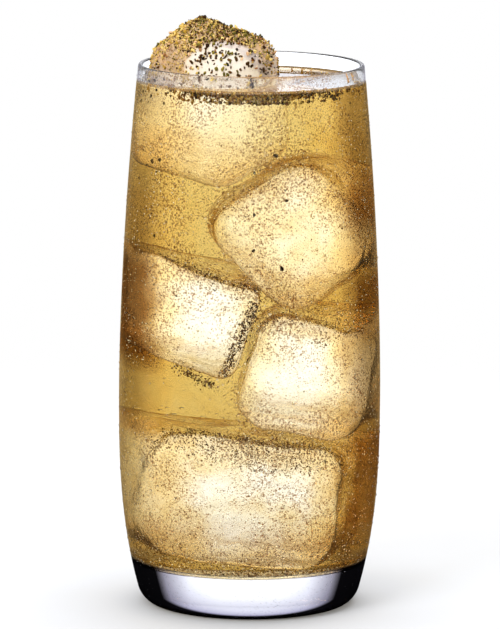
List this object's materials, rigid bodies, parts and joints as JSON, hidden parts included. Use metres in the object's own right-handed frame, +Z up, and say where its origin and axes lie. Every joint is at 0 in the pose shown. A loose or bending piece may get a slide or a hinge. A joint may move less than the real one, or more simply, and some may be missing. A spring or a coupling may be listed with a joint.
{
  "type": "whisky sour",
  "caption": "Long amber whisky sour with large ice and coarse spice, in a tall barrel-shaped clear tumbler with a heavy foot.",
  "frame": {"origin": "centre of the tumbler's foot, on the surface that it stands on", "axes": "+Z up along the tumbler's axis, +X to the right in the picture, -Y towards the viewer"},
  "size_m": [0.07, 0.07, 0.1572],
  "materials": {
    "clear_glass": "clear, polished",
    "ice": "wet, dusted with coarse spice",
    "amber_drink": "clear liquid"
  },
  "bodies": {
    "root": {"glass": "clear_glass", "ice_top": "ice", "drink": "amber_drink"}
  },
  "joints": []
}
